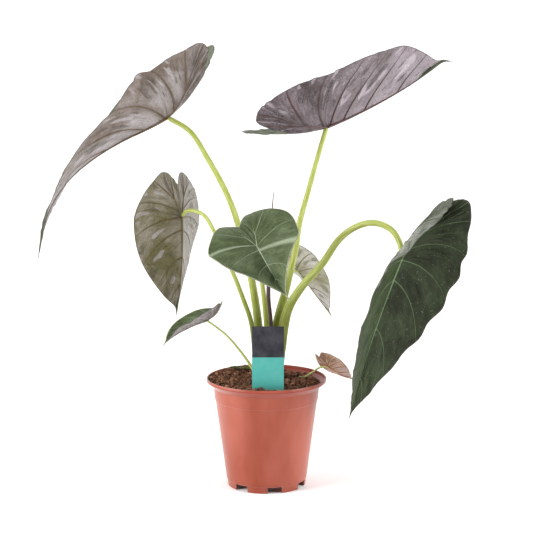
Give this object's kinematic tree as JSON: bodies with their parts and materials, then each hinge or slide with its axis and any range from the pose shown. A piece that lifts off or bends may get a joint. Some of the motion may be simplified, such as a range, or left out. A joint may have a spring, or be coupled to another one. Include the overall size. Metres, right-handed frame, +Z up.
{
  "type": "potted alocasia wentii",
  "caption": "House plant with arrow-shaped dark leaves on arching stalks, in a soil-filled grow pot with a plant label.",
  "frame": {"origin": "middle of the pot's underside, level with what it stands on", "axes": "+Z up, -Y towards the front with the label, +X to the right seen from the front"},
  "size_m": [0.6128, 0.3916, 0.6244],
  "materials": {
    "pot_plastic": "satin terracotta-coloured plastic",
    "soil": "rough moist peat and fibre",
    "label_card": "satin printed plastic, dark above and teal below",
    "leaf_blade": "satin dark green above, grey-purple below",
    "young_leaf_blade": "satin reddish brown",
    "leaf_stalk": "satin yellow-green",
    "furled_leaf": "satin dark maroon",
    "spent_leaf": "dull dark olive"
  },
  "bodies": {
    "root": {"pot": "pot_plastic", "soil": "soil", "plant_label": "label_card", "blade_upper_left": "leaf_blade", "blade_upper_right": "leaf_blade", "blade_middle_left": "leaf_blade", "blade_centre": "leaf_blade", "blade_right": "leaf_blade", "blade_back_right": "leaf_blade", "blade_lower_left": "leaf_blade", "blade_lower_right": "young_leaf_blade", "stalk_upper_left": "leaf_stalk", "stalk_upper_right": "leaf_stalk", "stalk_middle_left": "leaf_stalk", "stalk_centre": "leaf_stalk", "stalk_right": "leaf_stalk", "stalk_back_right": "leaf_stalk", "stalk_lower_left": "leaf_stalk", "stalk_lower_right": "leaf_stalk", "new_leaf_furled": "furled_leaf", "spent_leaf": "spent_leaf"}
  },
  "joints": []
}
